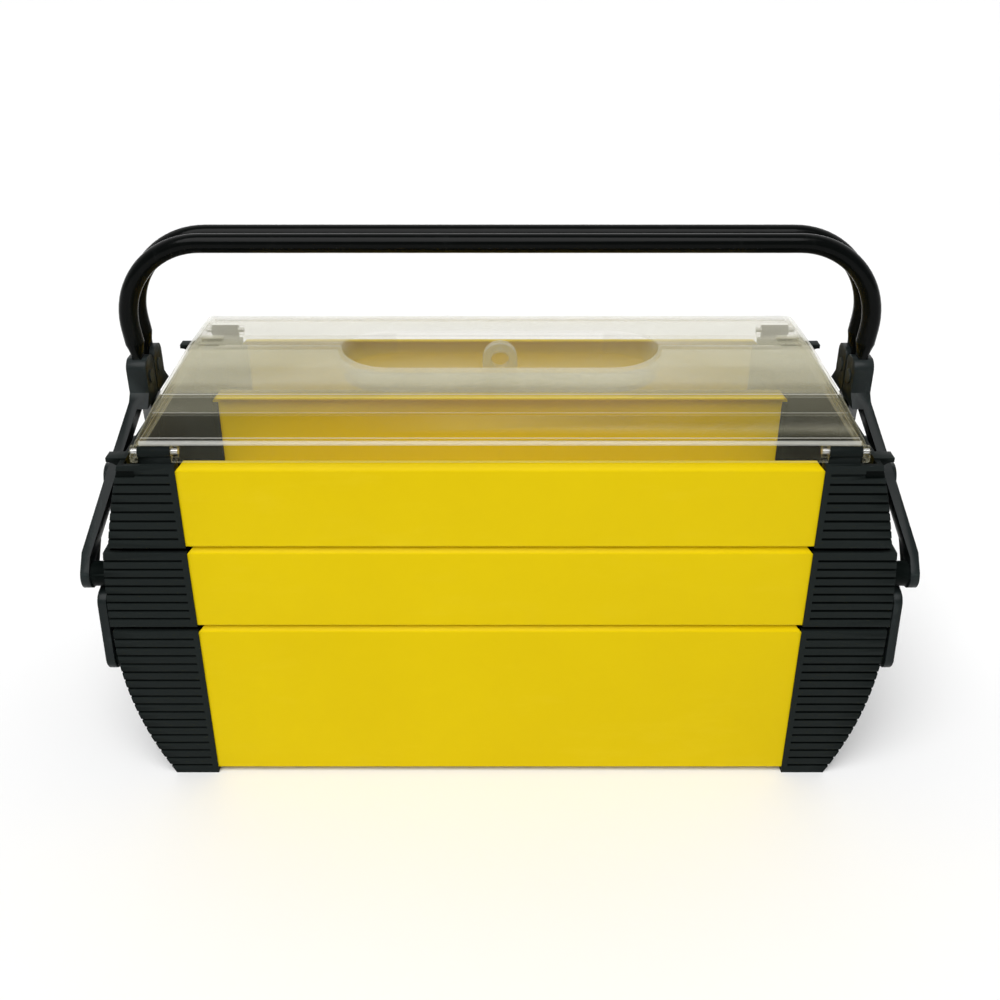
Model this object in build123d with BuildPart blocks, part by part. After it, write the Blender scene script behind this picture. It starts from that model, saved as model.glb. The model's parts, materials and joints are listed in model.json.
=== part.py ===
from build123d import *

import os
from collections import namedtuple
from math import radians, tan

# Cantilever toolbox: a full-depth bottom tray carries two stages of half trays, front and
# rear, on swinging links. Millimetres, +X right, +Y rear, +Z up, origin under the centre.

# ------------------------------------------------------------------ trays
panel_length = 335.6        # sheet-metal trays, between the end caps
box_depth = 186.0           # over the end caps, front to rear
foot_height = 3.0           # end caps stand this far below the bottom sheet
bottom_height = 101.5
middle_height = 50.2
top_height = 49.2
stack_gap = 0.6             # between a rim and the tray that rests above it
centre_gap = 1.2            # between the front and rear half trays
sheet = 0.8
sheet_recess = 0.8          # sheet faces lie this far behind the caps' rib crests
bend_radius = 1.2
lip_rise = 2.8              # height of the sloping lip
lip_run = 2.4
lip_flange = 2.8            # flat flange inside the lip

# ------------------------------------------------------------------ end caps
cap_wall = 2.8
cap_drop = 2.3              # stacked caps end this far below their sheet's rim
foot_reach = 25.0           # how far each cap stands out past the sheet, by level
bottom_belly_reach = 43.2
bottom_rim_reach = 47.4
middle_base_reach = 48.4
middle_belly_reach = 47.1
middle_rim_reach = 44.8
top_base_reach = 41.6
top_belly_reach = 36.2
top_rim_reach = 29.4
rib_pitch = 5.9
rib_gap = 1.5
rib_depth = 1.1
smooth_margin = 3.2         # plain strip between the sheet and the ribs
tongue_length = 3.0         # cap tongue inside the sheet
tongue_wall = 1.5
lug_width = 8.0
lug_reach = 8.0
lug_inset = 12.0            # lug's middle, behind the box's front face
lug_rise = 0.6              # lug's top, over the rim
lug_tip = 2.4               # its thickness at the free end
lug_depth = 12.0            # its height at the cap
lug_root = 1.5              # its underside starts and curves this far past the cap
lug_curve_out = 2.6
lug_curve_drop = 4.6
slot_length = 11.0          # slot in the top cap's face, under the lug
slot_height = 4.2
slot_depth = 1.3
slot_inset = 3.0            # its middle, inside the cap's end
slot_drop = 5.0             # and below the rim

# ------------------------------------------------------------------ links and arms
link_setback = 9.5          # foremost link pivot, behind the box's front face
short_link_inset = 7.5      # short link's upper pivot, in front of the box's middle
long_link_inset = 9.5       # long link's upper pivot, in front of the box's middle
link_drop = 23.5            # bottom pivots, below the bottom rim
link_height_middle = 18.4   # link pivots above the middle tray's base
link_height_top = 9.6
arm_setback = 13.0          # handle arm's lower pivot, behind the box's front face
arm_height_middle = 27.0
link_clearance = 1.5        # between the widest cap and the links
link_thickness = 5.2
link_end = 8.5              # radius of the long link's lower end
link_half_width = 7.5
link_lobe = 42.0            # the long link's front edge rises this far over its lower pivot
lobe_setback = 2.0          # the middle of the edge's rounding, behind that pivot
plate_round = 1.2           # rounding of the links' outer edges
arm_clearance = 1.8         # between the links and the handle arms, room for rivet heads
arm_thickness = 4.8
arm_half_width = 8.0
hub_step = 3.5              # the arm's hub stands in towards the cap
arm_bend_drop = 60.0        # the arm starts to lean in this far below the rim
arm_crease = 2.0            # its inner face starts to lean this much lower
shoulder_rise = 3.0         # the lean ends this far over the bracket's bottom
neck_drop = 3.0             # the neck and the bracket reach this far below the bracket's bottom
boss_radius = 7.0
boss_depth = 6.0            # boss length inside the cap
face_gap = 0.3              # running gap between a boss and its link
shank_radius = 2.5
shank_depth = 8.0           # rivet length inside a boss
head_radius = 4.5
head_height = 1.5
head_round = 1.2            # rounding of a rivet head
head_recess = 0.2           # recessed heads lie this far inside the arm's face
head_play = 0.5             # around a recessed rivet head
pivot_play = 0.05           # radial running clearance
open_play = 0.4             # at the handle arm's lower pivot and the short link's upper one

# ------------------------------------------------------------------ handles
tube_radius = 5.25
tube_wall = 1.2
handle_gap = 6.8            # between the two crossbars
bar_height = 92.0           # crossbar axis over the rim
handle_lean = 6.4           # degrees, legs spread outwards going up
handle_bend = 44.0
bracket_outer_x = 42.2      # past the sheet
bracket_width = 11.0        # along X
bracket_depth = 16.3        # along Y
bracket_top = 27.0          # over the rim
bracket_bottom = 1.0
bracket_rear = -1.0         # rear face of the front bracket, along Y
bracket_round = 6.0
socket_floor = 3.6          # bottom of the tube's socket, over the bracket's bottom
socket_gap = 0.4            # under the tube's end
tongue_thickness = 5.5      # flattened tube end
tongue_width = 9.4
tongue_round = 2.0
swage_length = 8.0          # from the flattened end to the round tube
handle_rivet_height = 15.0

# ------------------------------------------------------------------ lids
lid_reach = 22.9            # past the sheet
lid_wall = 2.0
lid_setback = 1.0           # lid front behind the caps' faces
lid_gap = 1.5               # lid edge over the rim
lid_front_height = 12.6     # over the rim
lid_end_height = 4.0        # upright part of the lid's ends, over the rim
lid_rim_run = 2.4
lid_rim_rise = 1.8
lid_slope_run = 18.0        # front slope ends this far behind the lid's front
lid_slope_height = 21.4
lid_crease_run = 32.0       # a gentler slope ends here
lid_crease_height = 25.8
lid_peak = 30.6
lid_end_slope = 12.7        # the ends slope in by this much
lid_round = 2.6
edge_margin = 1.0           # tells neighbouring edges of the lid apart
seam_gap = 0.5
well_length = 182.0
well_width = 60.0
well_floor = 15.5           # over the rim
well_draft = 9.0
well_overcut = 4.0          # the well's cutter stands this far over the lid
eyelet_width = 20.0
eyelet_top = 32.0
eyelet_hole_height = 22.0
eyelet_hole_radius = 5.15
eyelet_thickness = 3.0
hinge_height = 6.5
barrel_inset = 1.5          # the hinge barrel starts this far past the sheet's end
shelf_margin = 1.0          # the shelf under the barrel is this much wider than the barrel
barrel_radius = 3.2
hinge_pin_radius = 1.5
barrel_length = 16.7
knuckle_length = 3.2
knuckle_gap = 0.5
notch_reach = 4.4           # room in the lid around the barrel's axis
notch_overcut = 1.0
gate_spacing = 116.0
gate_height = 7.0           # over the rim
gate_radius = 0.9
catch_offset = -1.8         # catch centre, from the sheet's end
catch_setback = 9.0         # behind the seam
catch_length = 12.0
catch_width = 5.0
catch_height = 2.4
catch_notch = 1.6

# ------------------------------------------------------------------ derived places
panel_half = panel_length / 2
half_depth = box_depth / 2
bottom_rim = foot_height + bottom_height
middle_base = bottom_rim + stack_gap
middle_rim = middle_base + middle_height
top_base = middle_rim + stack_gap
rim = top_base + top_height

Tray = namedtuple("Tray", "rear base rim cap_base cap_rim base_reach belly_reach rim_reach")
bottom_tray = Tray(half_depth, foot_height, bottom_rim, 0.0, bottom_rim - cap_drop,
                   foot_reach, bottom_belly_reach, bottom_rim_reach)
middle_tray = Tray(-centre_gap / 2, middle_base, middle_rim, middle_base, middle_rim - cap_drop,
                   middle_base_reach, middle_belly_reach, middle_rim_reach)
top_tray = Tray(-centre_gap / 2, top_base, rim, top_base, rim,
                top_base_reach, top_belly_reach, top_rim_reach)

# pivot centres (y, z) of the front half; the rear half is its mirror image
lower_run = (half_depth - link_setback - short_link_inset) / 2
upper_run = half_depth - link_setback - lower_run - long_link_inset
long_foot = (-half_depth + link_setback, bottom_rim - link_drop)
long_middle = (long_foot[0] + lower_run, middle_base + link_height_middle)
long_top = (long_middle[0] + upper_run, top_base + link_height_top)
lower_stage = (lower_run, long_middle[1] - long_foot[1])
upper_stage = (upper_run, long_top[1] - long_middle[1])
short_foot = (long_foot[0] + lower_run, long_foot[1])
short_top = (short_foot[0] + lower_stage[0], short_foot[1] + lower_stage[1])
arm_foot = (-half_depth + arm_setback, middle_base + arm_height_middle)
arm_top = (arm_foot[0] + upper_stage[0], arm_foot[1] + upper_stage[1])

link_x = panel_half + max(middle_base_reach, bottom_rim_reach) + link_clearance
link_out = link_x + link_thickness
arm_x = link_out + arm_clearance
arm_out = arm_x + arm_thickness
boss_end = link_x - face_gap
arm_boss_end = arm_x - face_gap
bracket_out = panel_half + bracket_outer_x
bracket_in = bracket_out - bracket_width
lean_slope = (arm_out - bracket_out) / (arm_bend_drop + bracket_bottom + shoulder_rise)
hub_out = arm_out - lean_slope * (arm_top[1] - (rim - arm_bend_drop))
hub_in = hub_out - arm_thickness - hub_step
arm_seat = arm_out - head_height - head_recess
tube_y = -(handle_gap / 2 + tube_radius)
handle_rivet_place = (tube_y, rim + handle_rivet_height)
tube_x = (bracket_in + bracket_out) / 2

lid_half = panel_half + lid_reach
lid_front = -half_depth + lid_setback
hinge_y = lid_front + barrel_radius
hinge_z = rim + hinge_height
barrel_in = panel_half + barrel_inset


# ------------------------------------------------------------------ sheet-metal trays
def tray_sheet(tray):
    """Bent channel: front wall, floor and rear wall, each wall with a sloping lip."""
    front = -half_depth + sheet_recess + sheet / 2
    rear = -front if tray.rear > 0 else tray.rear - sheet / 2
    low, high = tray.base + sheet / 2, tray.rim - sheet / 2
    with BuildPart() as channel:
        with BuildSketch(Plane.YZ.offset(-panel_half)):
            with BuildLine():
                FilletPolyline(
                    (front + lip_run + lip_flange, high),
                    (front + lip_run, high),
                    (front, high - lip_rise),
                    (front, low),
                    (rear, low),
                    (rear, high - lip_rise),
                    (rear - lip_run, high),
                    (rear - lip_run - lip_flange, high),
                    radius=bend_radius,
                )
            trace(line_width=sheet)
        extrude(amount=panel_length)
        with BuildSketch(Plane.XZ) as mitres:
            with BuildLine():
                Polyline(
                    (panel_half, tray.rim - lip_rise - sheet),
                    (panel_half, tray.rim),
                    (panel_half - lip_rise - sheet, tray.rim),
                    close=True,
                )
            make_face()
            mirror(about=Plane.YZ)
        extrude(amount=box_depth, both=True, mode=Mode.SUBTRACT)
    return channel.part


# ------------------------------------------------------------------ end caps, right-hand
def cap_outline(tray, inset=0.0):
    """Barrel-shaped outline in the XZ plane, its curved end moved in by inset."""
    reaches = (tray.base_reach, tray.belly_reach, tray.rim_reach)
    base_x, belly_x, rim_x = (panel_half + reach - inset for reach in reaches)
    with BuildSketch(Plane.XZ.offset(-tray.rear)) as outline:
        with BuildLine():
            Line((panel_half, tray.cap_base), (base_x, tray.cap_base))
            ThreePointArc(
                (base_x, tray.cap_base),
                (belly_x, (tray.cap_base + tray.cap_rim) / 2),
                (rim_x, tray.cap_rim),
            )
            Polyline((rim_x, tray.cap_rim), (panel_half, tray.cap_rim), (panel_half, tray.cap_base))
        make_face()
    return outline.sketch


def rib_heights(tray):
    """Heights of the gaps between the ribs on a cap's face."""
    height = tray.cap_rim - tray.cap_base
    count = round(height / rib_pitch)
    return [tray.cap_base + height * (i + 1) / (count + 1) for i in range(count)]


def end_cap(tray, bosses):
    """Hollow cap, open on top, with a tongue inside the sheet and a boss at each pivot.

    bosses is a list of (pivot, outer end along X)."""
    depth = tray.rear + half_depth
    faces = (-half_depth, half_depth) if tray.rear > 0 else (-half_depth,)
    floor = tray.base + cap_wall
    with BuildPart() as hollow:
        extrude(cap_outline(tray, inset=cap_wall), amount=depth)
        with Locations((panel_half, -half_depth, floor)):
            Box(2 * middle_base_reach, depth - 2 * cap_wall, tray.cap_rim - floor,
                align=(Align.CENTER, Align.MIN, Align.MIN), mode=Mode.INTERSECT)
    with BuildPart() as cap:
        extrude(cap_outline(tray), amount=depth)
        add(hollow.part.moved(Location((0, cap_wall, 0))), mode=Mode.SUBTRACT)
        with Locations(*[(panel_half + smooth_margin, y, z) for y in faces for z in rib_heights(tray)]):
            Box(2 * middle_base_reach, 2 * rib_depth, rib_gap,
                align=(Align.MIN, Align.CENTER, Align.CENTER), mode=Mode.SUBTRACT)
        add(cap_tongue(tray))
        for pivot, end in bosses:
            start = panel_half + surface_reach(tray, pivot[1]) - cap_wall - boss_depth
            add(rods([pivot], start, end - start, boss_radius))
            add(rods([pivot], end - shank_depth, shank_depth, shank_radius), mode=Mode.SUBTRACT)
    return cap.part


def rods(centres, start, length, radius):
    """Round rods along +X from start, one at each (y, z) centre."""
    with BuildPart() as group:
        with BuildSketch(Plane.YZ.offset(start)):
            with Locations(*centres):
                Circle(radius)
        extrude(amount=length)
    return group.part


def surface_reach(tray, z):
    """How far the cap's curved end stands out at height z, taken on straight chords."""
    middle = (tray.cap_base + tray.cap_rim) / 2
    half = middle - tray.cap_base
    if z < middle:
        return tray.belly_reach + (tray.base_reach - tray.belly_reach) * (middle - z) / half
    return tray.belly_reach + (tray.rim_reach - tray.belly_reach) * (z - middle) / half


def cap_tongue(tray):
    """U-shaped tongue that lies against the inside of the sheet."""
    front = -half_depth + sheet_recess + sheet
    rear = -front if tray.rear > 0 else tray.rear - sheet
    low = tray.base + sheet
    high = tray.rim - lip_rise - 2 * sheet
    with BuildPart() as tongue:
        with BuildSketch(Plane.YZ.offset(panel_half - tongue_length)) as section:
            with Locations(((front + rear) / 2, low)):
                Rectangle(rear - front, high - low, align=(Align.CENTER, Align.MIN))
            chamfer(section.vertices().group_by(Axis.Y)[0], 2 * bend_radius)
            with Locations(((front + rear) / 2, low + tongue_wall)):
                Rectangle(rear - front - 2 * tongue_wall, high - low,
                          align=(Align.CENTER, Align.MIN), mode=Mode.SUBTRACT)
        extrude(amount=tongue_length + cap_wall)
    return tongue.part


def top_end_cap():
    """Top cap: adds the lid's hinge barrel, the lug that the open handle rests on and a slot."""
    lug_y = -half_depth + lug_inset
    lug_x = panel_half + top_rim_reach
    with BuildPart() as cap:
        add(end_cap(top_tray, [(long_top, boss_end), (arm_top, hub_in - face_gap)]))
        with Locations((panel_half, lid_front, rim)):
            Box(barrel_in + barrel_length - panel_half, 2 * barrel_radius + shelf_margin, 2 * cap_wall,
                align=(Align.MIN, Align.MIN, Align.MAX))
        with Locations((barrel_in, hinge_y, rim)):
            Box(barrel_length, barrel_radius, hinge_height, align=(Align.MIN, Align.CENTER, Align.MIN))
        add(rods([(hinge_y, hinge_z)], barrel_in, barrel_length, barrel_radius))
        add(rods([(hinge_y, hinge_z)], barrel_in, barrel_length, hinge_pin_radius), mode=Mode.SUBTRACT)
        with BuildSketch(Plane.XZ.offset(-lug_y - lug_width / 2)):
            with BuildLine():
                top = rim + lug_rise
                Polyline((lug_x + lug_reach, top - lug_tip), (lug_x + lug_reach, top),
                         (lug_x - cap_wall, top), (lug_x - cap_wall, top - lug_depth),
                         (lug_x + lug_root, top - lug_depth))
                ThreePointArc((lug_x + lug_root, top - lug_depth),
                              (lug_x + lug_curve_out, top - lug_curve_drop),
                              (lug_x + lug_reach, top - lug_tip))
            make_face()
        extrude(amount=lug_width)
        with Locations((lug_x - slot_inset, -half_depth, rim - slot_drop)):
            Box(slot_length, 2 * slot_depth, slot_height, mode=Mode.SUBTRACT)
    return cap.part


# ------------------------------------------------------------------ links and handle arms, right-hand
def long_link():
    """Link from the bottom tray to the top tray, broad between its two lower pivots."""
    lobe = (long_foot[0] + lobe_setback, long_foot[1] + link_lobe - link_half_width)
    with BuildPart() as link:
        with BuildSketch(Plane.YZ.offset(link_x)):
            with Locations(long_foot):
                Circle(link_end)
            with Locations(long_middle, lobe):
                Circle(link_half_width)
            make_hull()
        extrude(amount=link_thickness)
        with BuildSketch(Plane.YZ.offset(link_x)):
            with Locations(long_middle, long_top):
                Circle(link_half_width)
            make_hull()
        extrude(amount=link_thickness)
        fillet(link.faces().sort_by(Axis.X)[-1].outer_wire().edges(), plate_round)
        add(rods([long_foot, long_middle, long_top], link_x, link_thickness, shank_radius + pivot_play),
            mode=Mode.SUBTRACT)
    return link.part


def short_link():
    """Plain link that keeps the middle tray level."""
    with BuildPart() as link:
        with BuildSketch(Plane.YZ.offset(link_x)):
            with Locations(short_foot, short_top):
                Circle(boss_radius)
            make_hull()
        extrude(amount=link_thickness)
        fillet(link.faces().sort_by(Axis.X)[-1].outer_wire().edges(), plate_round)
        add(rods([short_foot], link_x, link_thickness, shank_radius + pivot_play), mode=Mode.SUBTRACT)
        add(rods([short_top], link_x, link_thickness, shank_radius + open_play), mode=Mode.SUBTRACT)
    return link.part


def handle_arm():
    """Arm from the middle tray's pivot past the top tray's pivot to the handle bracket."""
    bend = rim - arm_bend_drop
    shoulder = bend + (arm_out - bracket_out) / lean_slope
    low = arm_foot[1] - 2 * arm_half_width
    top = rim + bracket_top
    bracket_y = bracket_rear - bracket_depth / 2
    with BuildPart() as arm:
        with BuildSketch(Plane.XZ):
            with BuildLine():
                Polyline(
                    (arm_out, low), (arm_out, bend), (bracket_out, shoulder), (bracket_out, top),
                    (bracket_in, top), (bracket_in, rim + bracket_bottom),
                    (bracket_out - arm_thickness, rim + bracket_bottom), (arm_x, bend - arm_crease),
                    (arm_x, low), close=True,
                )
            make_face()
        extrude(amount=box_depth)
        with BuildSketch(Plane.YZ) as strap:
            with Locations(arm_foot, arm_top):
                Circle(arm_half_width)
            make_hull()
        with BuildSketch(Plane.YZ) as neck:
            with Locations(arm_top, (bracket_y, rim + arm_half_width - neck_drop)):
                Circle(arm_half_width)
            make_hull()
        with BuildSketch(Plane.YZ) as block:
            with Locations((bracket_y, rim - neck_drop)):
                RectangleRounded(bracket_depth, bracket_top + neck_drop, bracket_round,
                                 align=(Align.CENTER, Align.MIN))
        extrude(strap.sketch + neck.sketch + block.sketch, amount=2 * arm_out, mode=Mode.INTERSECT)
        add(rods([arm_top], hub_in, hub_out - hub_in, arm_half_width))
        for centre, start, length, radius in (
            (arm_top, hub_out - head_height, arm_thickness, head_radius + head_play),
            (arm_top, hub_in, arm_thickness + hub_step, shank_radius + pivot_play),
            (arm_foot, arm_seat, arm_thickness, head_radius + head_play),
            (arm_foot, arm_x, arm_thickness, shank_radius + open_play),
        ):
            add(rods([centre], start, length, radius), mode=Mode.SUBTRACT)
        with Locations((tube_x, tube_y - tongue_width / 2, rim + bracket_bottom + socket_floor)):
            Box(tongue_thickness, bracket_depth, bracket_top,
                align=(Align.CENTER, Align.MIN, Align.MIN), mode=Mode.SUBTRACT)
        add(rods([handle_rivet_place], bracket_in, bracket_width, shank_radius), mode=Mode.SUBTRACT)
    return arm.part


# ------------------------------------------------------------------ handle tube
def handle_tube():
    """Bail of round tube; both ends are flattened to fit between the bracket cheeks."""
    low = rim + bracket_bottom + socket_floor + socket_gap
    swage, bar = rim + bracket_top, rim + bar_height
    start = swage + swage_length
    spread = tan(radians(handle_lean))
    start_x = tube_x + (start - swage) * spread
    corner_x = start_x + (bar - start) * spread
    with BuildPart() as tube:
        with BuildLine(Plane.XZ.offset(-tube_y)) as route:
            FilletPolyline((start_x, start), (corner_x, bar), (-corner_x, bar), (-start_x, start),
                           radius=handle_bend)
        with BuildSketch(Plane(route.line @ 0, z_dir=route.line % 0)):
            Circle(tube_radius)
            Circle(tube_radius - tube_wall, mode=Mode.SUBTRACT)
        sweep()
    with BuildPart() as end:
        with BuildSketch(Plane(route.line @ 0, x_dir=(0, 1, 0), z_dir=route.line % 0)) as round_end:
            Circle(tube_radius)
        with BuildSketch(Plane((tube_x, tube_y, swage), x_dir=(0, 1, 0), z_dir=(0, 0, 1))) as flat_end:
            RectangleRounded(tongue_width, tongue_thickness, tongue_round)
        loft([round_end.sketch.face(), flat_end.sketch.face()])
        extrude(flat_end.sketch, amount=low - swage)
        add(rods([handle_rivet_place], bracket_in, bracket_width, shank_radius), mode=Mode.SUBTRACT)
    with BuildPart() as whole:
        add(tube.part)
        add(end.part)
        mirror(end.part, about=Plane.YZ)
    return whole.part


# ------------------------------------------------------------------ rivets and pins
def rivet(pivot, start, seat):
    """Domed rivet along X from its blind end to the head, whose underside is at seat."""
    with BuildPart() as body:
        add(rods([pivot], start, seat - start, shank_radius))
        add(rods([pivot], seat, head_height, head_radius))
        fillet(body.edges().group_by(Axis.X)[-1], head_round)
    return body.part


def both_ends(*pieces):
    """The given right-hand pieces and their mirror images, as one group."""
    with BuildPart() as group:
        add(pieces)
        mirror(about=Plane.YZ)
    return group.part


def mirrored(piece, plane):
    with BuildPart() as image:
        mirror(piece, about=plane)
    return image.part


def handle_rivet():
    """Rivet through the bracket cheeks and the flattened tube end, headed on both sides."""
    radius = head_radius - head_play
    with BuildPart() as body:
        add(rods([handle_rivet_place], bracket_in, bracket_width, shank_radius))
        add(rods([handle_rivet_place], bracket_out, head_height, radius))
        fillet(body.edges().group_by(Axis.X)[-1], head_round)
        add(rods([handle_rivet_place], bracket_in - head_height / 2, head_height / 2, radius))
    return body.part


def hinge_pin():
    """Steel pin through one hinge barrel and the lid knuckles beside it."""
    end = knuckle_gap + knuckle_length
    return rods([(hinge_y, hinge_z)], barrel_in - end, barrel_length + 2 * end, hinge_pin_radius)


# ------------------------------------------------------------------ lids, front half
def lid_block():
    """Solid outside shape of the front lid: rounded front rim, two slopes, gentle rise to the seam."""
    seam = -seam_gap / 2
    low = rim + lid_gap
    with BuildPart() as block:
        with BuildSketch(Plane.YZ):
            with BuildLine():
                Polyline(
                    (lid_front, low),
                    (lid_front, rim + lid_front_height),
                    (lid_front + lid_rim_run, rim + lid_front_height + lid_rim_rise),
                    (lid_front + lid_slope_run, rim + lid_slope_height),
                    (lid_front + lid_crease_run, rim + lid_crease_height),
                    (seam, rim + lid_peak),
                    (seam, low),
                    close=True,
                )
            make_face()
        extrude(amount=lid_half, both=True)
        with BuildSketch(Plane.XZ):
            with BuildLine():
                Polyline(
                    (lid_half, low), (lid_half, rim + lid_end_height),
                    (lid_half - lid_end_slope, rim + lid_peak),
                    (lid_end_slope - lid_half, rim + lid_peak),
                    (-lid_half, rim + lid_end_height), (-lid_half, low), close=True,
                )
            make_face()
        extrude(amount=box_depth, mode=Mode.INTERSECT)
        hips = [e for e in block.edges().filter_by(GeomType.LINE)
                if e.center().Z > low + edge_margin and abs(e.center().Y - seam) > edge_margin
                and e.length < box_depth]
        long_edges = [e for e in block.edges().filter_by(Axis.X)
                      if e.center().Z > rim + lid_front_height - edge_margin
                      and e.center().Y < seam - edge_margin]
        fillet(hips + long_edges, lid_round)
    return block.part


def well_solid(inset):
    """Drafted stadium on the seam, from the well floor up, its walls moved in by inset."""
    depth = lid_peak - well_floor + well_overcut
    floor = rim + well_floor - (lid_wall if inset == 0.0 else 0.0)
    shrink = 2 * (depth * tan(radians(well_draft)) + inset)
    with BuildPart() as well:
        with BuildSketch(Plane.XY.offset(floor)):
            SlotOverall(well_length + 2 * lid_wall - shrink, well_width + 2 * lid_wall - shrink)
        extrude(amount=depth + well_overcut, taper=-well_draft)
    return well.part


def front_lid(catches):
    """Clear shell with half of the well and an eyelet; catches stand proud or are notched."""
    seam = -seam_gap / 2
    block = lid_block()
    catch_x = panel_half + catch_offset
    with BuildPart() as well_shell:
        add(well_solid(0.0))
        add(block, mode=Mode.INTERSECT)
    with BuildPart() as lid:
        add(block)
        offset(amount=-lid_wall, openings=lid.faces().sort_by(Axis.Z)[0])
        add(well_shell.part)
        add(well_solid(lid_wall), mode=Mode.SUBTRACT)
        with BuildSketch(Plane.XZ.offset(-seam)):
            with Locations((0, rim + well_floor - lid_wall)):
                Rectangle(eyelet_width, eyelet_top - well_floor + lid_wall - eyelet_width / 2,
                          align=(Align.CENTER, Align.MIN))
            with Locations((0, rim + eyelet_top - eyelet_width / 2)):
                Circle(eyelet_width / 2)
            with Locations((0, rim + eyelet_hole_height)):
                Circle(eyelet_hole_radius, mode=Mode.SUBTRACT)
        extrude(amount=eyelet_thickness)
        for side in (-1, 1):
            middle = side * (barrel_in + barrel_length / 2)
            with Locations((middle, lid_front - notch_overcut, rim)):
                Box(barrel_length + 2 * knuckle_gap, barrel_radius + notch_reach + notch_overcut,
                    hinge_height + notch_reach, align=(Align.CENTER, Align.MIN, Align.MIN),
                    mode=Mode.SUBTRACT)
            add(lid_knuckles(middle))
            end = barrel_length / 2 + knuckle_gap + knuckle_length
            add(rods([(hinge_y, hinge_z)], middle - end, 2 * end, hinge_pin_radius + pivot_play),
                mode=Mode.SUBTRACT)
            with Locations((side * catch_x, seam - catch_setback if catches else seam, rim + lid_peak)):
                if catches:
                    Box(catch_length, catch_width, catch_height)
                else:
                    Box(catch_length, 2 * catch_width, catch_notch, mode=Mode.SUBTRACT)
        with Locations(*[(x, lid_front, rim + gate_height) for x in (-gate_spacing, 0, gate_spacing)]):
            Sphere(gate_radius)
    return lid.part


def lid_knuckles(middle):
    """Two knuckles, one on each side of the cap's barrel, whose middle is at x = middle."""
    start = barrel_length / 2 + knuckle_gap
    hinge = [(hinge_y, hinge_z)]
    with BuildPart() as knuckles:
        add(rods(hinge, middle + start, knuckle_length, barrel_radius))
        add(rods(hinge, middle - start - knuckle_length, knuckle_length, barrel_radius))
    return knuckles.part


# ------------------------------------------------------------------ the assembly
def front_half():
    """Every piece of the front half, by name; the two ends are mirror images."""
    link_bosses = [(long_middle, boss_end), (short_top, boss_end), (arm_foot, arm_boss_end)]
    sided = {
        "middle_end_cap": end_cap(middle_tray, link_bosses),
        "top_end_cap": top_end_cap(),
        "long_link": long_link(),
        "short_link": short_link(),
        "handle_arm": handle_arm(),
    }
    pieces = {}
    for name, piece in sided.items():
        pieces[name + "_right"] = piece
        pieces[name + "_left"] = mirrored(piece, Plane.YZ)
    depth = boss_end - shank_depth
    pieces["middle_tray_sheet"] = tray_sheet(middle_tray)
    pieces["top_tray_sheet"] = tray_sheet(top_tray)
    pieces["handle_tube"] = handle_tube()
    pieces["middle_tray_rivets"] = both_ends(
        rivet(long_middle, depth, link_out), rivet(short_top, depth, link_out),
        rivet(arm_foot, arm_boss_end - shank_depth, arm_seat))
    pieces["top_tray_rivets"] = both_ends(
        rivet(long_top, depth, link_out),
        rivet(arm_top, hub_in - face_gap - shank_depth, hub_out - head_height))
    pieces["handle_rivets"] = both_ends(handle_rivet())
    pieces["hinge_pins"] = both_ends(hinge_pin())
    return pieces


def bottom_pieces():
    """The tray that the whole box stands on."""
    front_pivots = [long_foot, short_foot]
    pivots = front_pivots + [(-y, z) for y, z in front_pivots]
    cap = end_cap(bottom_tray, [(pivot, boss_end) for pivot in pivots])
    return {
        "bottom_tray_sheet": tray_sheet(bottom_tray),
        "bottom_end_cap_right": cap,
        "bottom_end_cap_left": mirrored(cap, Plane.YZ),
        "bottom_tray_rivets": both_ends(*[rivet(p, boss_end - shank_depth, link_out) for p in pivots]),
    }


pieces = bottom_pieces()
for name, piece in front_half().items():
    pieces["front_" + name] = piece
    pieces["rear_" + name] = mirrored(piece, Plane.XZ)
pieces["front_lid"] = front_lid(catches=False)
pieces["rear_lid"] = mirrored(front_lid(catches=True), Plane.XZ)

os.makedirs("parts", exist_ok=True)
for name, piece in pieces.items():
    piece.label = name
    export_step(piece, f"parts/{name}.step")
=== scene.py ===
import json
import math

import bmesh
import bpy
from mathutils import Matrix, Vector


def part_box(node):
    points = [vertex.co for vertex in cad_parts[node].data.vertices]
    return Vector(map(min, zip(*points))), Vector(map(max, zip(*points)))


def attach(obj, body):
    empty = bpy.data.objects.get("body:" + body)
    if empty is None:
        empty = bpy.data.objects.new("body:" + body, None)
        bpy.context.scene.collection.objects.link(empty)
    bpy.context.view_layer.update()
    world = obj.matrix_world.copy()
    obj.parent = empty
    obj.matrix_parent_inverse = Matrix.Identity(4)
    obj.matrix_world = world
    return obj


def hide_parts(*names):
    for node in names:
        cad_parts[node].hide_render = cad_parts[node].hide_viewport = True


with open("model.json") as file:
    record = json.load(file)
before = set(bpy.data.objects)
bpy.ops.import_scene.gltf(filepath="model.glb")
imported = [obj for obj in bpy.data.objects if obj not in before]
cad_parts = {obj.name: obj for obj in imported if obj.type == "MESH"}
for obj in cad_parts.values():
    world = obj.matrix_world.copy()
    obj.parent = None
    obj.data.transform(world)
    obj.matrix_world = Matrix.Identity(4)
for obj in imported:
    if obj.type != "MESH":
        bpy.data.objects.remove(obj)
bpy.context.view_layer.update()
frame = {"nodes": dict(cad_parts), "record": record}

MM = 0.001
NODES = frame["nodes"]
BODIES = frame["record"]["behaviour"]["bodies"]
BODY_OF = {node: body for body, nodes in BODIES.items() for node in nodes}

# ------------------------------------------------------------------ camera
CAMERA_BACK = 630 * MM       # in front of the box's middle
CAMERA_ABOVE_RIM = 273 * MM  # over the top trays' rim
CAMERA_PITCH = 28.6          # degrees below the horizon
CAMERA_LENS = 42.2           # millimetres
CAMERA_SENSOR = 36.0         # millimetres
CAMERA_NEAREST = 10 * MM


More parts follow.
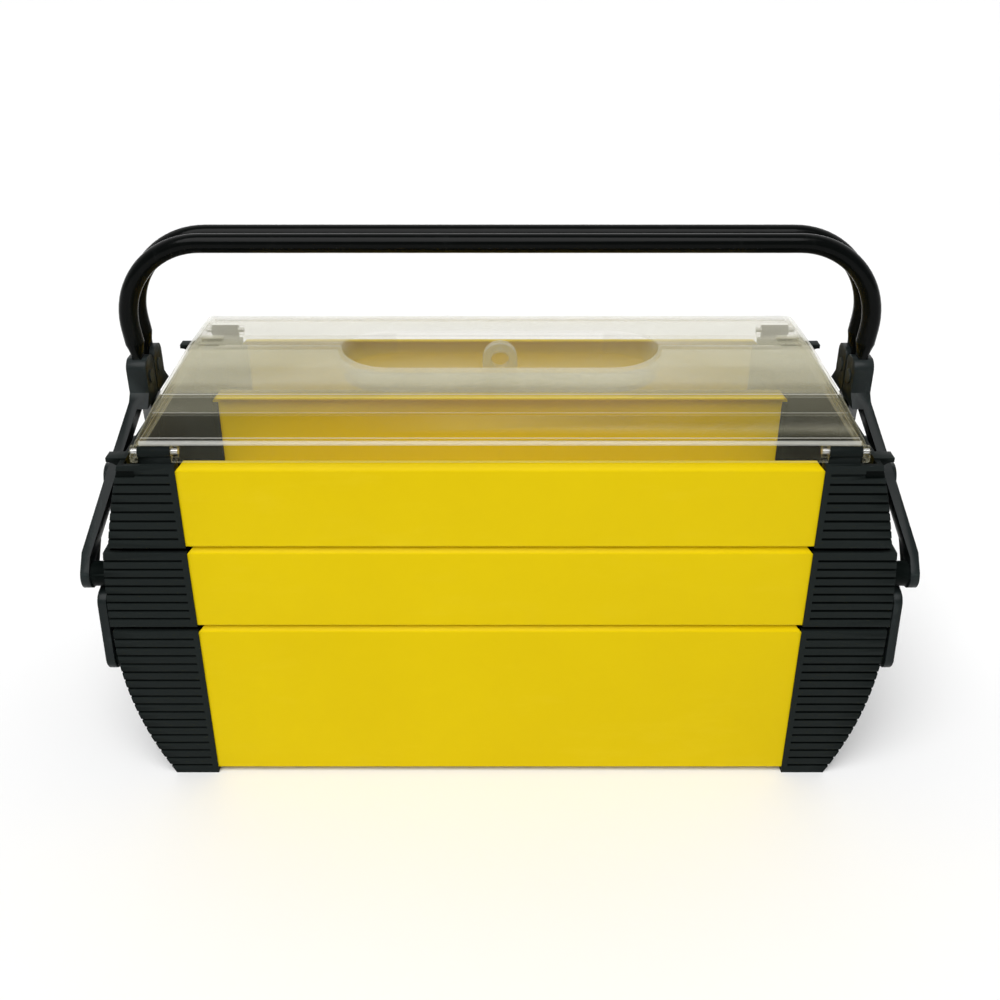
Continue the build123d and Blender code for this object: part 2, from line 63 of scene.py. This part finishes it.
def add_camera():
    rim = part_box("front_top_tray_sheet")[1].z
    data = bpy.data.cameras.new("camera")
    data.lens = CAMERA_LENS
    data.sensor_width = CAMERA_SENSOR
    data.clip_start = CAMERA_NEAREST
    camera = bpy.data.objects.new("camera", data)
    camera.location = (0.0, -CAMERA_BACK, rim + CAMERA_ABOVE_RIM)
    camera.rotation_euler = (math.radians(90 - CAMERA_PITCH), 0.0, 0.0)
    bpy.context.scene.collection.objects.link(camera)
    bpy.context.scene.camera = camera


# ------------------------------------------------------------------ materials
UPRIGHT_NORMAL = (0.3, 0.5)      # how far a normal may lean before its face counts as level
EDGE_POINTINESS = (0.51, 0.58)   # where an outward edge starts and is full
GLANCE_FACING = (0.26, 0.80)     # where a low angle of view starts and is full


def add_ramp(nodes, links, value, low, high, out_low, out_high):
    """Maps low..high to out_low..out_high, held at the ends."""
    node = nodes.new("ShaderNodeMapRange")
    node.inputs["From Min"].default_value = low
    node.inputs["From Max"].default_value = high
    node.inputs["To Min"].default_value = out_low
    node.inputs["To Max"].default_value = out_high
    links.new(value, node.inputs["Value"])
    return node.outputs["Result"]


class Finish:
    """A material and short calls that add nodes to it."""

    def __init__(self, name, color, roughness, metallic=0.0):
        self.material = bpy.data.materials.new(name)
        self.material.use_nodes = True
        self.nodes = self.material.node_tree.nodes
        self.links = self.material.node_tree.links
        self.shader = self.nodes["Principled BSDF"]
        self.shader.inputs["Base Color"].default_value = (*color, 1.0)
        self.shader.inputs["Roughness"].default_value = roughness
        self.shader.inputs["Metallic"].default_value = metallic
        self.place = self.nodes.new("ShaderNodeTexCoord").outputs["Object"]

    def stretched(self, scale):
        """Object coordinates scaled by a different amount along each axis."""
        node = self.nodes.new("ShaderNodeMapping")
        node.inputs["Scale"].default_value = scale
        self.links.new(self.place, node.inputs["Vector"])
        return node.outputs["Vector"]

    def noise(self, scale, detail=4.0, roughness=0.55, place=None):
        node = self.nodes.new("ShaderNodeTexNoise")
        node.inputs["Scale"].default_value = scale
        node.inputs["Detail"].default_value = detail
        node.inputs["Roughness"].default_value = roughness
        self.links.new(place or self.place, node.inputs["Vector"])
        return node.outputs["Fac"]

    def spots(self, scale, place=None):
        node = self.nodes.new("ShaderNodeTexVoronoi")
        node.inputs["Scale"].default_value = scale
        self.links.new(place or self.place, node.inputs["Vector"])
        return node.outputs["Distance"]

    def ramp(self, value, low, high, out_low=0.0, out_high=1.0):
        return add_ramp(self.nodes, self.links, value, low, high, out_low, out_high)

    def math(self, operation, *values):
        node = self.nodes.new("ShaderNodeMath")
        node.operation = operation
        for socket, value in zip(node.inputs, values):
            if isinstance(value, (int, float)):
                socket.default_value = value
            else:
                self.links.new(value, socket)
        return node.outputs["Value"]

    def mix(self, factor, a, b):
        """Colour between a and b, which are colours or sockets."""
        node = self.nodes.new("ShaderNodeMix")
        node.data_type = "RGBA"
        self.links.new(factor, node.inputs["Factor"])
        for name, value in (("A", a), ("B", b)):
            socket = [s for s in node.inputs if s.name == name and s.type == "RGBA"][0]
            if isinstance(value, tuple):
                socket.default_value = (*value, 1.0)
            else:
                self.links.new(value, socket)
        return [s for s in node.outputs if s.type == "RGBA"][0]

    def bump(self, height, distance, strength=1.0, below=None):
        node = self.nodes.new("ShaderNodeBump")
        node.inputs["Distance"].default_value = distance
        node.inputs["Strength"].default_value = strength
        self.links.new(height, node.inputs["Height"])
        if below:
            self.links.new(below, node.inputs["Normal"])
        return node.outputs["Normal"]

    def along(self, axis, vector=None):
        """One coordinate of the place on the object, or of another vector."""
        node = self.nodes.new("ShaderNodeSeparateXYZ")
        self.links.new(vector or self.place, node.inputs["Vector"])
        return node.outputs[axis]

    def upright(self):
        """1 on upright faces, 0 on level ones."""
        node = self.nodes.new("ShaderNodeNewGeometry")
        lean = self.math("ABSOLUTE", self.along("Z", node.outputs["Normal"]))
        return self.ramp(lean, *UPRIGHT_NORMAL, 1.0, 0.0)

    def edges(self):
        """1 on outward edges, 0 elsewhere."""
        node = self.nodes.new("ShaderNodeNewGeometry")
        return self.ramp(node.outputs["Pointiness"], *EDGE_POINTINESS)

    def glance(self):
        """0 where the surface is seen square on, 1 edge on."""
        node = self.nodes.new("ShaderNodeLayerWeight")
        return self.ramp(node.outputs["Facing"], *GLANCE_FACING)

    def set(self, socket, value):
        if isinstance(value, (int, float)):
            self.shader.inputs[socket].default_value = value
        else:
            self.links.new(value, self.shader.inputs[socket])


def yellow_paint():
    """Oven-baked yellow enamel: slight orange peel, faint clouding and rubbed patches."""
    finish = Finish("yellow_paint", (0.69, 0.505, 0.002), 0.33)
    clouds = finish.ramp(finish.noise(9.0, 3.0), 0.35, 0.7)
    worn = finish.noise(60.0, 6.0, 0.7, finish.stretched((0.25, 1.0, 1.0)))
    rubs = finish.ramp(worn, 0.55, 0.75)
    color = finish.mix(clouds, (0.700, 0.515, 0.0005), (0.672, 0.485, 0.0005))
    color = finish.mix(finish.math("MULTIPLY", rubs, 0.35), color, (0.74, 0.56, 0.015))
    # painted highlight: outward edges are painted a lighter yellow, as if lit along the edge
    color = finish.mix(finish.math("MULTIPLY", finish.edges(), 0.5), color, (0.80, 0.61, 0.01))
    specks = finish.ramp(finish.spots(260.0), 0.04, 0.07, 1.0, 0.0)
    color = finish.mix(finish.math("MULTIPLY", specks, 0.12), color, (0.50, 0.36, 0.005))
    finish.set("Base Color", color)
    finish.set("Roughness", finish.ramp(rubs, 0.0, 1.0, 0.30, 0.42))
    peel = finish.bump(finish.noise(750.0, 2.0, 0.4), 0.00006, 0.5)
    finish.set("Normal", finish.bump(finish.noise(28.0, 2.0, 0.4), 0.0006, 0.12, peel))
    finish.set("Specular IOR Level", 0.04)
    return finish.material


def black_plastic():
    """Moulded black plastic: fine spark-eroded grain, dusty lows and lighter outward edges, partly
    rubbed and partly a painted highlight.
    """
    finish = Finish("black_plastic", (0.018, 0.020, 0.020), 0.5)
    grain = finish.noise(1500.0, 3.0, 0.6)
    dust = finish.ramp(finish.noise(26.0, 5.0, 0.65), 0.45, 0.75)
    color = finish.mix(dust, (0.0018, 0.0032, 0.0028), (0.0045, 0.0064, 0.0058))
    # outward edges painted lighter: partly rubbing, partly a painted highlight along the edges
    color = finish.mix(finish.math("MULTIPLY", finish.edges(), 0.6), color, (0.020, 0.025, 0.024))
    finish.set("Base Color", color)
    finish.set("Roughness", finish.ramp(dust, 0.0, 1.0, 0.40, 0.56))
    flow = finish.bump(finish.noise(45.0, 2.0, 0.4), 0.0004, 0.12)
    finish.set("Normal", finish.bump(grain, 0.00008, 0.55, flow))
    finish.set("Specular IOR Level", 0.03)
    return finish.material


RUB_AND_HIGHLIGHT_GAIN = 3.2     # how much lighter black paint gets where it is rubbed, and along outward edges, where the lighter tone is partly a painted highlight
RUB_AND_HIGHLIGHT_GREY = 0.012


def black_enamel(name, roughness, color, scratch, gloss):
    """Black paint on steel; scratch is how much bare rubbing shows."""
    finish = Finish(name, color, roughness)
    worn = finish.noise(90.0, 8.0, 0.75, finish.stretched((1.0, 0.4, 0.4)))
    rub = finish.ramp(worn, 0.56, 0.74)
    rubbed = tuple(RUB_AND_HIGHLIGHT_GAIN * c + RUB_AND_HIGHLIGHT_GREY for c in color)
    tone = finish.mix(finish.math("MULTIPLY", rub, scratch), color, rubbed)
    # outward edges take the lighter rubbed tone: partly edge wear, partly a painted highlight along
    # the edges
    tone = finish.mix(finish.math("MULTIPLY", finish.edges(), 0.45), tone, rubbed)
    finish.set("Base Color", tone)
    finish.set("Roughness", finish.ramp(rub, 0.0, 1.0, roughness, roughness + 0.14))
    finish.set("Normal", finish.bump(finish.noise(520.0, 2.0, 0.4), 0.00005, 0.45))
    finish.set("Specular IOR Level", gloss)
    return finish.material


def pin_steel():
    finish = Finish("pin_steel", (0.52, 0.52, 0.51), 0.3, 1.0)
    brushed = finish.noise(700.0, 3.0, 0.6, finish.stretched((0.05, 1.0, 1.0)))
    finish.set("Roughness", finish.ramp(brushed, 0.3, 0.7, 0.24, 0.42))
    finish.set("Base Color", finish.mix(brushed, (0.42, 0.42, 0.41), (0.60, 0.60, 0.59)))
    finish.set("Normal", finish.bump(brushed, 0.00003, 0.5))
    return finish.material


FROST_FROM = 26.7 * MM   # the lids' frosted part starts this far over the rim
FROST_BLUR = 0.25 * MM   # half the width of its border
WELL_HALF = 32 * MM      # the finger well's reach from the seam
WELL_BLUR = 1.0 * MM     # over which its frost fades out
WEAR_OPACITY = 0.06      # what a scuff adds to the opacity


def clear_plastic(name, low_color, high_color, clear, painted_reflection, frosted):
    """Clear moulded styrene with a frosted top, cloudy haze, scuffs and hairline scratches.

    Its colours are painted light: yellowish ones stand in for yellow light scattered up from the
    trays below (painted bounce light), near white ones for bright lines along the lids' edges
    (painted highlight). clear is its opacity seen square on; what a low angle adds to it is a
    painted reflection, a pale veil standing in for light the surface reflects; and frosted is what
    the fine texture inside the lid's top adds."""
    # the yellowish fallback colour stands in for yellow light scattered up from the trays below:
    # painted bounce light
    finish = Finish(name, (0.62, 0.60, 0.45), 0.06)
    haze = finish.ramp(finish.noise(11.0, 4.0, 0.6), 0.35, 0.7)
    scuffed = finish.noise(240.0, 8.0, 0.8, finish.stretched((0.12, 1.0, 1.0)))
    scuffs = finish.ramp(scuffed, 0.60, 0.80)
    scratched = finish.noise(900.0, 4.0, 0.7, finish.stretched((0.05, 0.6, 1.0)))
    hairs = finish.ramp(scratched, 0.66, 0.72)
    wear = finish.math("MAXIMUM", scuffs, hairs)
    # the colours passed in are painted light: yellowish bounce light on the lids, a near white
    # highlight on their edges
    finish.set("Base Color", finish.mix(haze, low_color, high_color))
    finish.set("Roughness", finish.ramp(wear, 0.0, 1.0, 0.06, 0.30))
    # painted reflection: at low angles of view the plastic turns more opaque with its pale colour,
    # standing in for the light its surface reflects
    glance = finish.math("MULTIPLY", finish.glance(), finish.ramp(haze, 0.0, 1.0, 0.85, 1.1))
    opacity = finish.math("MULTIPLY_ADD", glance, painted_reflection, clear)
    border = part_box("front_top_tray_sheet")[1].z + FROST_FROM
    top = finish.ramp(finish.along("Z"), border - FROST_BLUR, border + FROST_BLUR)
    off_seam = finish.math("ABSOLUTE", finish.along("Y"))
    near_seam = finish.ramp(off_seam, WELL_HALF, WELL_HALF + WELL_BLUR, 1.0, 0.0)
    # the well's upright walls take the frost too, so the yellowish painted bounce light shows on
    # them
    well = finish.math("MULTIPLY", finish.upright(), near_seam)
    texture = finish.math("MAXIMUM", top, well)
    grain = finish.ramp(finish.noise(700.0, 3.0, 0.6), 0.3, 0.7, 0.95, 1.05)
    opacity = finish.math("MULTIPLY_ADD", finish.math("MULTIPLY", texture, grain), frosted, opacity)
    finish.set("Alpha", finish.math("MULTIPLY_ADD", wear, WEAR_OPACITY, opacity))
    finish.set("Normal", finish.bump(finish.noise(26.0, 2.0, 0.4), 0.0004, 0.05))
    finish.set("Specular IOR Level", 0.35)
    return finish.material


def make_materials():
    return {
        "yellow_paint": yellow_paint(),
        "black_plastic": black_plastic(),
        # painted bounce light: yellowish colours for yellow light scattered up from the trays below
        "clear_plastic": clear_plastic(
            "clear_plastic", (0.60, 0.575, 0.40), (0.66, 0.635, 0.46),
            clear=0.02, painted_reflection=0.26, frosted=0.18),
        # painted highlight: a near white, more opaque coat for the lids' bevels and narrow edge
        # faces, standing in for the bright lines of light along them
        "clear_plastic_edge": clear_plastic(
            "clear_plastic_edge", (0.80, 0.80, 0.72), (0.86, 0.86, 0.80),
            clear=0.34, painted_reflection=0.25, frosted=0.0),
        "gloss_black_paint": black_enamel(
            "gloss_black_paint", 0.14, (0.0018, 0.0024, 0.0022), scratch=0.2, gloss=0.07),
        "black_link": black_enamel(
            "black_link", 0.34, (0.0075, 0.0105, 0.0105), scratch=0.7, gloss=0.12),
        "black_rivet": black_enamel(
            "black_rivet", 0.30, (0.011, 0.014, 0.0145), scratch=1.0, gloss=0.15),
        "pin_steel": pin_steel(),
    }


# ------------------------------------------------------------------ pieces
BEVELS = {  # edge rounding by material slot
    "yellow_paint": 0.22 * MM,
    "black_plastic": 0.35 * MM,
    "clear_plastic": 0.40 * MM,
    "black_link": 0.5 * MM,
}
BEVEL_SEGMENTS = 2
SHARP_ANGLE = math.radians(32)     # edges sharper than this are rounded and kept crisp
FLAT_ANGLE = math.radians(0.4)     # faces that meet flatter than this are merged
WELD_DISTANCE = 0.002 * MM
EDGE_STRIP = 1.1 * MM              # faces narrower than this
EDGE_RUN = 18 * MM                 # and longer than this belong to a rounded edge


def rounded_copy(node, slot, coats):
    """Replaces a CAD node by a copy with its flat faces merged and its sharp edges rounded."""
    mesh = NODES[node].data.copy()
    piece = bpy.data.objects.new(node + "_part", mesh)
    bpy.context.scene.collection.objects.link(piece)
    shape = bmesh.new()
    shape.from_mesh(mesh)
    bmesh.ops.remove_doubles(shape, verts=shape.verts, dist=WELD_DISTANCE)
    bmesh.ops.dissolve_limit(
        shape, angle_limit=FLAT_ANGLE, verts=shape.verts, edges=shape.edges)
    shape.to_mesh(mesh)
    shape.free()
    mesh.materials.clear()
    for coat in coats:
        mesh.materials.append(coat)
    # narrow long faces and the bevels' faces take the last coat; on the clear lids that is the
    # painted highlight for their edges
    for face in mesh.polygons:
        longest = max((mesh.vertices[a].co - mesh.vertices[b].co).length
                      for a, b in face.edge_keys)
        if longest > EDGE_RUN and face.area < EDGE_STRIP * longest:
            face.material_index = len(coats) - 1
    bevel = piece.modifiers.new("bevel", "BEVEL")
    bevel.width = BEVELS[slot]
    bevel.segments = BEVEL_SEGMENTS
    bevel.limit_method = "ANGLE"
    bevel.angle_limit = SHARP_ANGLE
    bevel.use_clamp_overlap = True
    bevel.material = len(coats) - 1
    depsgraph = bpy.context.evaluated_depsgraph_get()
    piece.data = bpy.data.meshes.new_from_object(piece.evaluated_get(depsgraph))
    piece.modifiers.clear()
    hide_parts(node)
    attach(piece, BODY_OF[node])
    return piece


def smooth(mesh):
    """Smooth shading with sharp edges kept crisp."""
    mesh.shade_smooth()
    mesh.set_sharp_from_angle(angle=SHARP_ANGLE)


def make_pieces(materials):
    for part in frame["record"]["subparts"]:
        node, slot = part["node"], part["material_slot"]
        if slot in BEVELS:
            # the second coat, where a slot has one, paints a highlight on the edges
            coats = [materials[name] for name in (slot, slot + "_edge") if name in materials]
            smooth(rounded_copy(node, slot, coats).data)
        else:
            NODES[node].data.materials.clear()
            NODES[node].data.materials.append(materials[slot])
            smooth(NODES[node].data)


# ------------------------------------------------------------------ studio
FLOOR_HALF = 20.0                 # metres
SUN_STRENGTH = 2.7
SUN_WIDTH = math.radians(50)      # wide, for soft shadows
SUN_TILT = (math.radians(30), math.radians(-7), 0.0)
STRIPE_PLACE = (0.0, -0.5, 1.5)   # the light whose reflection runs along the handle
STRIPE_TARGET = (0.0, 0.0, 0.2)
STRIPE_SIZE = (1.8, 0.3)
STRIPE_POWER = 2.0
WALLS = (("Y", -0.3, 0.4, 0.22, 1.0),    # dim in front, white behind
         ("Z", 0.70, 0.92, 1.0, 0.35))   # white at the sides, dim overhead


def add_floor():
    mesh = bpy.data.meshes.new("floor")
    corners = ((-1, -1), (1, -1), (1, 1), (-1, 1))
    mesh.from_pydata([(x * FLOOR_HALF, y * FLOOR_HALF, 0) for x, y in corners], [], [(0, 1, 2, 3)])
    floor = bpy.data.objects.new("floor", mesh)
    bpy.context.scene.collection.objects.link(floor)
    finish = Finish("floor_paper", (0.86, 0.86, 0.86), 0.7)
    finish.set("Base Color", finish.mix(finish.noise(3.0), (0.87, 0.87, 0.87), (0.84, 0.84, 0.84)))
    mesh.materials.append(finish.material)


def add_area_light(name, place, target, size, power):
    data = bpy.data.lights.new(name, "AREA")
    data.shape = "RECTANGLE"
    data.size, data.size_y = size
    data.energy = power
    light = bpy.data.objects.new(name, data)
    light.location = place
    aim = Vector(target) - Vector(place)
    light.rotation_euler = aim.to_track_quat("-Z", "Y").to_euler()
    bpy.context.scene.collection.objects.link(light)


def add_surroundings():
    """White studio walls behind and beside the object, dim in front of it and overhead."""
    world = bpy.data.worlds.new("world")
    bpy.context.scene.world = world
    world.use_nodes = True
    nodes, links = world.node_tree.nodes, world.node_tree.links
    direction = nodes.new("ShaderNodeSeparateXYZ")
    links.new(nodes.new("ShaderNodeTexCoord").outputs["Generated"], direction.inputs["Vector"])
    strength = nodes.new("ShaderNodeMath")
    strength.operation = "MULTIPLY"
    for socket, (axis, *spans) in zip(strength.inputs, WALLS):
        links.new(add_ramp(nodes, links, direction.outputs[axis], *spans), socket)
    links.new(strength.outputs["Value"], nodes["Background"].inputs["Strength"])
    nodes["Background"].inputs["Color"].default_value = (1.0, 1.0, 1.0, 1.0)


def add_studio():
    add_floor()
    sun = bpy.data.lights.new("overhead", "SUN")
    sun.energy = SUN_STRENGTH
    sun.angle = SUN_WIDTH
    lamp = bpy.data.objects.new("overhead", sun)
    lamp.rotation_euler = SUN_TILT
    bpy.context.scene.collection.objects.link(lamp)
    add_area_light("handle_stripe", STRIPE_PLACE, STRIPE_TARGET, STRIPE_SIZE, STRIPE_POWER)
    add_surroundings()
    bpy.context.scene.view_settings.view_transform = "Standard"


add_camera()
make_pieces(make_materials())
add_studio()
